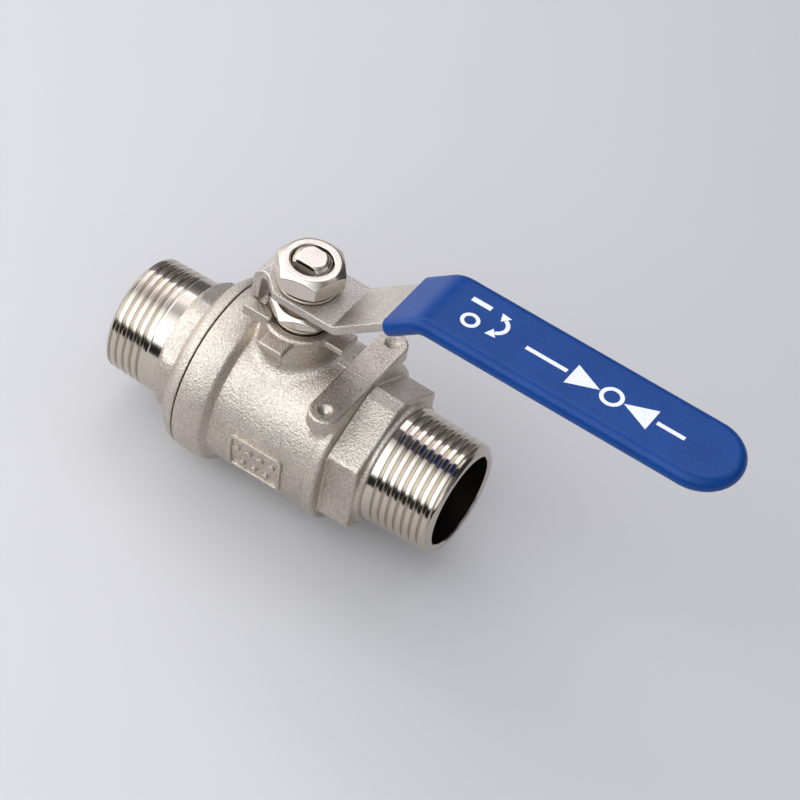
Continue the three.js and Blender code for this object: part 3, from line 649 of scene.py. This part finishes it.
def ball(x, y, z):
    """The bored ball, slotted on top for the stem's tang."""
    solid = np.sqrt(x * x + y * y + z * z) - BALL_RADIUS
    bore = np.hypot(y, z) - PORT
    slot = np.maximum(np.abs(x) - BALL_SLOT_HALF, BALL_SLOT_FLOOR - z)
    return cut(cut(solid, bore, 0.6), slot, 0.3)


def stem(x, y, z):
    """The tang, the foot, the shank and the threaded top with its two flats."""
    radius = np.hypot(x, y)
    turn = np.arctan2(y, x) / (2 * math.pi)
    wave = np.abs((z / STEM_PITCH - turn) % 1 * 2 - 1)
    thread = STEM_THREAD_RADIUS - STEM_THREAD_DEPTH * np.clip(wave * 1.5 - 0.4, 0, 1)
    top = smooth_max(radius - thread, np.abs(y) - np.where(z > FLATS_START, FLAT_HALF, 9), 0.15)
    chamfer = (radius + z - STEM_TOP - STEM_THREAD_RADIUS + STEM_CHAMFER) * 0.707
    top = smooth_max(top, chamfer, 0.15)
    top = smooth_max(top, z - STEM_TOP, 0.3)
    top = np.maximum(top, STEM_THREAD_START - z)
    shank = drum(z, radius, STEM_SHANK_START, STEM_SHOULDER, STEM_RADIUS, 0.2)
    foot = drum(z, radius, FOOT_LOW, FOOT_TOP, FOOT_RADIUS, 0.3)
    tang = brick(x, y, z, (-TANG_HALF, -TANG_REACH, STEM_FOOT),
                 (TANG_HALF, TANG_REACH, STEM_SHANK_START), 0.3)
    return np.minimum(np.minimum(top, shank), np.minimum(foot, tang))


def nut(low, top, corner):
    """A hexagon nut, chamfered above and below, with a countersunk hole."""
    def distance(x, y, z):
        radius = np.hypot(x, y)
        solid = hexagon(*turned_aside(x, y, corner - 90), NUT_FLATS, 0.35)
        for height in (z - top, low - z):
            cone = height + (radius - NUT_FACE) * NUT_CHAMFER_SLOPE
            cone = cone / math.hypot(1, NUT_CHAMFER_SLOPE)
            solid = smooth_max(solid, cone, 0.2)
            solid = smooth_max(solid, height, 0.15)
            widening = np.maximum(height + NUT_SINK, 0)
            sink = (radius - STEM_THREAD_RADIUS - NUT_HOLE_GAP - widening) * 0.8
            solid = cut(solid, sink, 0.12)
        return solid
    return distance


def washer(low, top, outer):
    """A round washer on the stem."""
    def distance(x, y, z):
        radius = np.hypot(x, y)
        return cut(drum(z, radius, low, top, outer, 0.15), radius - WASHER_HOLE, 0.15)
    return distance


REACH = NUT_FLATS / math.sqrt(3)
shaped("bored_ball", ball, (-BALL_RADIUS,) * 3, (BALL_RADIUS,) * 3, 0.5, POLISHED,
       "ball_core", "machined_steel", "ball")
shaped("stem_turned", stem, (-FOOT_RADIUS, -FOOT_RADIUS, STEM_FOOT),
       (FOOT_RADIUS, FOOT_RADIUS, STEM_TOP), 0.2, STEM_STEEL, "handle", "machined_steel", "stem")
shaped("handle_nut_hex", nut(HANDLE_NUT_LOW, HANDLE_NUT_TOP, HANDLE_NUT_CORNER),
       (-REACH, -REACH, HANDLE_NUT_LOW), (REACH, REACH, HANDLE_NUT_TOP), 0.17, TURNED,
       "handle", "machined_steel", "handle_nut")
shaped("gland_nut_hex", nut(GLAND_NUT_LOW, GLAND_NUT_TOP, GLAND_NUT_CORNER),
       (-REACH, -REACH, GLAND_NUT_LOW), (REACH, REACH, GLAND_NUT_TOP), 0.2, TURNED,
       "handle", "machined_steel", "gland_nut")
shaped("gland_washer_disc", washer(GLAND_WASHER_LOW, GLAND_WASHER_TOP, GLAND_WASHER_RADIUS),
       (-GLAND_WASHER_RADIUS, -GLAND_WASHER_RADIUS, GLAND_WASHER_LOW),
       (GLAND_WASHER_RADIUS, GLAND_WASHER_RADIUS, GLAND_WASHER_TOP), 0.2, TURNED,
       "handle", "machined_steel", "gland_washer")


def split_washer(x, y, z):
    """A washer with a slanting slit at its back."""
    ring = washer(SPRING_WASHER_LOW, SPRING_WASHER_TOP, SPRING_WASHER_RADIUS)(x, y, z)
    slit = np.maximum(np.abs(x - (z - SPRING_WASHER_LOW)) - WASHER_SLIT_HALF, -y)
    return cut(ring, slit, 0.15)


shaped("spring_washer_split", split_washer,
       (-SPRING_WASHER_RADIUS, -SPRING_WASHER_RADIUS, SPRING_WASHER_LOW),
       (SPRING_WASHER_RADIUS, SPRING_WASHER_RADIUS, SPRING_WASHER_TOP), 0.2, TURNED,
       "handle", "machined_steel", "spring_washer")


# Lever and sleeve -----------------------------------------------------------------------------

def rounded_route(corners, bends):
    """Straights and arcs through corners in X and Z, as (kind, length before it, numbers)."""
    corners = [np.array(c, float) for c in corners]
    route, length, here = [], 0.0, corners[0]
    for index, bend in enumerate(bends, 1):
        into = corners[index] - corners[index - 1]
        into /= np.linalg.norm(into)
        out = corners[index + 1] - corners[index]
        out /= np.linalg.norm(out)
        turn = math.atan2(into[0] * out[1] - into[1] * out[0], into @ out)
        reach = bend * math.tan(abs(turn) / 2)
        stop = corners[index] - into * reach
        route.append(("straight", length, here, into, np.linalg.norm(stop - here)))
        length += np.linalg.norm(stop - here)
        side = math.copysign(1, turn)
        centre = stop + side * bend * np.array([-into[1], into[0]])
        route.append(("arc", length, centre, stop - centre, bend, turn))
        length += bend * abs(turn)
        here = corners[index] + out * reach
    along = corners[-1] - here
    route.append(("straight", length, here, along / np.linalg.norm(along), np.linalg.norm(along)))
    return route


def along_route(x, z, route):
    """How far along a route a point lies, and how far off it, positive on its left."""
    best, station, offset = None, None, None
    for part in route:
        if part[0] == "straight":
            _, before, start, way, length = part
            run = (x - start[0]) * way[0] + (z - start[1]) * way[1]
            off = (z - start[1]) * way[0] - (x - start[0]) * way[1]
            first, last = part is route[0], part is route[-1]
            held = np.clip(run, -np.inf if first else 0, np.inf if last else length)
            gap = np.hypot(run - held, off)
            where = before + held
        else:
            _, before, centre, spoke, bend, turn = part
            side = math.copysign(1, turn)
            u, v = x - centre[0], z - centre[1]
            angle = np.arctan2(spoke[0] * v - spoke[1] * u, spoke[0] * u + spoke[1] * v) * side
            held = np.clip(angle, 0, abs(turn))
            distance = np.hypot(u, v)
            off = (bend - distance) * side
            gap = np.where(held == angle, np.abs(bend - distance), np.inf)
            where = before + held * bend
        if best is None:
            best, station, offset = gap, where, off
        else:
            closer = gap < best
            station = np.where(closer, where, station)
            offset = np.where(closer, off, offset)
            best = np.where(closer, gap, best)
    return station, offset


LEVER_ROUTE = rounded_route(
    [(TAIL_X, TAIL_FOOT), (TAIL_X, FLAT_Z), (RISE_START, FLAT_Z), (RISE_END, GRIP_Z),
     (SLEEVE_END + 5, GRIP_Z)], LEVER_BENDS)
GRIP_STATION = along_route(np.array(GRIP_END_CENTRE), np.array(GRIP_Z), LEVER_ROUTE)[0]
MOUTH_Z = FLAT_Z + (SLEEVE_MOUTH_X - RISE_START) / (RISE_END - RISE_START) * (GRIP_Z - FLAT_Z)
MOUTH_STATION = along_route(np.array(SLEEVE_MOUTH_X), np.array(MOUTH_Z), LEVER_ROUTE)[0]


def lever(x, y, z):
    """The bent strip, narrow at its tail, with a double-D hole for the stem."""
    station, offset = along_route(x, z, LEVER_ROUTE)
    side = np.abs(y)
    slant = (LEVER_HALF - TAIL_HALF) / (PLATE_CORNER - TAIL_START)
    shear = (side - LEVER_HALF - (x - PLATE_CORNER) * slant) / math.hypot(1, slant)
    end = np.hypot(np.maximum(station - GRIP_STATION, 0), y) - LEVER_HALF
    plan = smooth_max(smooth_max(side - LEVER_HALF, shear, 0.5), end, 0.5)
    plan = smooth_min(plan, np.maximum(side - TAIL_HALF, x - NARROW_END), 1.0)
    plan = smooth_max(plan, -station, 0.6)
    hole = smooth_max(np.hypot(x, y) - STEM_THREAD_RADIUS - GAP, side - FLAT_HALF - GAP, 0.2)
    solid = smooth_max(plan, np.abs(offset) - SHEET / 2, 0.35)
    return cut(solid, np.maximum(hole, z - FLAT_Z - HOLE_TOP), 0.2)


def sleeve(x, y, z):
    """A thick skin round the lever's grip, open at its mouth, with a pocket for the strip."""
    station, offset = along_route(x, z, LEVER_ROUTE)
    half = SLEEVE_THICKNESS / 2
    plan = np.hypot(np.maximum(station - GRIP_STATION, 0), y) - (SLEEVE_HALF - half)
    skin = np.hypot(np.maximum(plan, 0), offset) - half
    skin = smooth_max(skin, MOUTH_STATION - station, 1.6)
    strip = np.hypot(np.maximum(station - GRIP_STATION, 0), y) - LEVER_HALF
    pocket = smooth_max(np.abs(offset) - SHEET / 2 - POCKET_GAP, strip - POCKET_GAP, 0.3)
    return cut(skin, pocket, 0.4)


lever_low, lever_high = (np.array(corner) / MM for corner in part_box("lever"))
sleeve_low, sleeve_high = (np.array(corner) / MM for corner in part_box("lever_sleeve"))
shaped("lever_sheet", lever, lever_low, lever_high, 0.36, SHEET_STEEL,
       "handle", "sheet_steel", "lever")
shaped("grip_sleeve", sleeve, sleeve_low - 3, sleeve_high, 0.42, VINYL,
       "handle", "blue_vinyl", "lever_sleeve")


# White marks on the sleeve --------------------------------------------------------------------

INK_HEIGHT = 0.05
SLEEVE_TOP = GRIP_Z + SLEEVE_THICKNESS / 2


def mark(name, outlines):
    """Thin raised shapes on the sleeve's flat top, from outlines in X and Y."""
    points, faces = [], []
    for outline in outlines:
        count, first = len(outline), len(points)
        for height in (-INK_HEIGHT, INK_HEIGHT):
            points += [(x, y, SLEEVE_TOP + height) for x, y in outline]
        faces.append([first + i for i in range(count)][::-1])
        faces.append([first + count + i for i in range(count)])
        for i in range(count):
            j = (i + 1) % count
            faces.append([first + i, first + j, first + count + j, first + count + i])
    mesh = bpy.data.meshes.new(name)
    mesh.from_pydata([Vector(p) * MM for p in points], [], faces)
    mesh.materials.append(INK)
    piece = bpy.data.objects.new(name, mesh)
    bpy.context.scene.collection.objects.link(piece)
    place(piece, "handle", "blue_vinyl")
    return piece


def bar(x0, x1, y0, y1):
    """A rectangle's outline."""
    return [(x0, y0), (x1, y0), (x1, y1), (x0, y1)]


def arc_band(centre, radius, width, start, end, steps=24):
    """A curved band about a centre, between two angles in degrees, as short quads."""
    angles = np.radians(np.linspace(start, end, steps + 1))
    quads = []
    for a, b in zip(angles, angles[1:]):
        quads.append([(centre[0] + r * math.cos(t), centre[1] + r * math.sin(t))
                      for r, t in ((radius - width / 2, a), (radius + width / 2, a),
                                   (radius + width / 2, b), (radius - width / 2, b))])
    return quads


def arrow_head(tip, heading, size):
    """A triangle with its tip at a point, pointing along a heading in degrees."""
    t = math.radians(heading)
    way, across = np.array([math.cos(t), math.sin(t)]), np.array([-math.sin(t), math.cos(t)])
    tip = np.array(tip)
    base = tip - way * size
    return [tuple(tip), tuple(base + across * size * 0.6), tuple(base - across * size * 0.6)]


turn_arrow = arc_band((52.1, 0.6), 2.8, 1.1, -68, 68)
turn_arrow.append(arrow_head((51.2, 4.9), 142, 2.5))
turn_arrow.append(arrow_head((51.2, -3.7), 218, 2.5))
mark("mark_turn_arrow", turn_arrow)
mark("mark_open", [bar(42.8, 48.4, 3.5, 5.0)])
mark("mark_closed", arc_band((46.3, -2.4), 2.0, 1.0, 0, 360, 32))
mark("mark_valve_symbol", [
    [(74.5, -4.6), (82.6, -0.9), (74.5, 2.8)],
    [(97.5, -4.6), (97.5, 2.8), (89.4, -0.9)],
    bar(61.5, 73.3, -1.5, -0.3),
    bar(98.7, 106.5, -1.5, -0.3),
] + arc_band((86.0, -0.9), 2.6, 1.1, 0, 360, 32))


# CAD nodes that stay --------------------------------------------------------------------------

for name in ("body_gasket", "seat_ring_right", "seat_ring_left", "thrust_washer",
             "packing_ring_lower", "packing_ring_middle", "packing_ring_upper"):
    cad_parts[name].data.materials.clear()
    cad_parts[name].data.materials.append(PTFE)
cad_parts["gland_ring"].data.materials.clear()
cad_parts["gland_ring"].data.materials.append(TURNED)


# Floor, lights and camera ---------------------------------------------------------------------

def floor_material():
    """Pale, with soft clouds, and with painted light falloff: it darkens slowly towards +X and +Y,
    standing in for a softbox's falloff.
    """
    shader = Shader("pale_floor_painted_falloff", Roughness=0.6)
    clouds = shader.noise(60.0, 3.0)
    # Painted light: the colour darkens along this direction, in place of a softbox's falloff across
    # the floor.
    parts = shader.add("ShaderNodeSeparateXYZ", {0: shader.place}).outputs
    across = shader.math("ADD", shader.math("MULTIPLY", parts["X"], 0.84),
                         shader.math("MULTIPLY", parts["Y"], 0.54))
    blend = shader.math("ADD", shader.span(across, 0.0, 0.9, -0.12, 0.18),
                        shader.math("MULTIPLY", clouds, 0.1))
    colour = shader.ramp(blend, (0.0, (0.675, 0.652, 0.647)), (1.0, (0.476, 0.461, 0.457)))
    shader.drive("Base Color", colour)
    return shader.material


def add_floor():
    size = 3.0
    mesh = bpy.data.meshes.new("floor")
    corners = [(-size, -size), (size, -size), (size, size), (-size, size)]
    mesh.from_pydata([(x, y, (LOWEST - 0.05) * MM) for x, y in corners], [], [(0, 1, 2, 3)])
    mesh.materials.append(floor_material())
    floor = bpy.data.objects.new("floor", mesh)
    bpy.context.scene.collection.objects.link(floor)


def direction(azimuth, elevation):
    """Away from the object: azimuth 0 is towards -Y and 90 towards +X, in degrees."""
    a, e = math.radians(azimuth), math.radians(elevation)
    return Vector((math.sin(a) * math.cos(e), -math.cos(a) * math.cos(e), math.sin(e)))


def add_flag():
    """A black strip that stands in front of the object, seen only in its reflections."""
    near, top, half = -0.19, 0.032, 0.7
    mesh = bpy.data.meshes.new("black_flag")
    corners = [(-half, LOWEST * MM), (half, LOWEST * MM), (half, top), (-half, top)]
    mesh.from_pydata([(x, near, z) for x, z in corners], [], [(0, 1, 2, 3)])
    shader = Shader("black_cloth", Roughness=1.0)
    weave = shader.noise(2.0)
    colour = shader.ramp(weave, (0.3, (0.008, 0.008, 0.008)), (0.7, (0.014, 0.014, 0.014)))
    shader.drive("Base Color", colour)
    mesh.materials.append(shader.material)
    flag = bpy.data.objects.new("black_flag", mesh)
    flag.visible_camera = flag.visible_diffuse = flag.visible_shadow = False
    bpy.context.scene.collection.objects.link(flag)


add_floor()
add_flag()

# The studio's light by its angle from straight up towards -Y, in degrees: a strip behind the object,
# a large softbox from overhead to the front, and dark down to the table's front edge.
STUDIO = (
    (-90, 0.2), (-62, 0.2), (-42.4, 0.5), (-41.9, 2.8), (-37, 2.7), (-30, 2.0), (-16, 2.0),
    (-6, 1.15), (9, 0.87), (18, 1.7), (28, 2.3), (45, 2.75), (66, 2.95), (76, 2.5), (79, 0.6),
    (83, 0.03), (90, 0.03),
)
STUDIO_PEAK = 2.95
# Its colour ahead of an angle and behind it, as shares of the highest part of either
FRONT_TINT, BACK_TINT, FRONT_STARTS = (0.94, 1.0, 1.07), (0.98, 1.0, 1.1), 12
TINT_PEAK = 1.1

# All of it dims sideways. These are X parts of a direction: where it is brightest, how far from
# there it starts and ends to dim, and the share of the light left at the end.
BRIGHTEST_SIDE, DIM_START, DIM_END, DIM_SHARE = -0.22, 0.06, 1.12, 0.15

# One more softbox stands off the cap's end.
GLOW_START, GLOW_END, SIDE_GLOW = -0.55, -0.85, 1.4


def add_studio():
    """The world's light: soft bands that all run along the pipe."""
    world = bpy.data.worlds.new("studio")
    world.use_nodes = True
    tree = world.node_tree
    light = tree.nodes["Background"]

    def node(kind, *sources, **settings):
        made = tree.nodes.new(kind)
        for key, value in settings.items():
            setattr(made, key, value)
        for socket, source in zip(made.inputs, sources):
            if isinstance(source, bpy.types.NodeSocket):
                tree.links.new(source, socket)
            else:
                socket.default_value = source
        return made

    way = node("ShaderNodeSeparateXYZ", node("ShaderNodeTexCoord").outputs["Generated"]).outputs
    forward = node("ShaderNodeMath", way["Y"], -1.0, operation="MULTIPLY").outputs[0]
    angle = node("ShaderNodeMath", forward, way["Z"], operation="ARCTAN2").outputs[0]
    arc = node("ShaderNodeMapRange", angle, -math.pi / 2, math.pi / 2).outputs["Result"]
    ramp = node("ShaderNodeValToRGB", arc)
    stops = ramp.color_ramp.elements
    for _ in STUDIO[2:]:
        stops.new(0.5)
    for stop, (degrees, level) in zip(stops, STUDIO):
        tint = FRONT_TINT if degrees > FRONT_STARTS else BACK_TINT
        stop.position = degrees / 180 + 0.5
        stop.color = (*(level / STUDIO_PEAK * part / TINT_PEAK for part in tint), 1)
    shifted = node("ShaderNodeMath", way["X"], -BRIGHTEST_SIDE, operation="ADD")
    aside = node("ShaderNodeMath", shifted.outputs[0], operation="ABSOLUTE").outputs[0]
    strength = node("ShaderNodeMapRange", aside, DIM_START, DIM_END, STUDIO_PEAK,
                    DIM_SHARE * STUDIO_PEAK)
    glow = node("ShaderNodeMapRange", way["X"], GLOW_START, GLOW_END, 0.0, SIDE_GLOW)
    softboxes = node("ShaderNodeVectorMath", ramp.outputs["Color"], operation="SCALE")
    tree.links.new(strength.outputs["Result"], softboxes.inputs["Scale"])
    total = node("ShaderNodeVectorMath", softboxes.outputs[0], glow.outputs["Result"],
                 operation="ADD")
    tree.links.new(total.outputs[0], light.inputs["Color"])
    bpy.context.scene.world = world


add_studio()
bpy.context.scene.view_settings.view_transform = "Standard"

VIEW_AZIMUTH, VIEW_ELEVATION, VIEW_ROLL = 24.488, 47.06, 12.156
VIEW_DISTANCE = 0.8511
VIEW_AIM = Vector((0.0243, 0.0157, 0.0039))
LENS = 147.0

camera = bpy.data.cameras.new("camera")
camera.lens = LENS
camera.sensor_width = 36
camera.clip_start, camera.clip_end = 0.05, 20
view = bpy.data.objects.new("camera", camera)
back = direction(VIEW_AZIMUTH, VIEW_ELEVATION)
sideways = direction(VIEW_AZIMUTH + 90, 0)
upright = Matrix((sideways, back.cross(sideways), back)).transposed()
view.matrix_world = (Matrix.Translation(VIEW_AIM + back * VIEW_DISTANCE)
                     @ (upright @ Matrix.Rotation(math.radians(VIEW_ROLL), 3, "Z")).to_4x4())
bpy.context.scene.collection.objects.link(view)
bpy.context.scene.camera = view
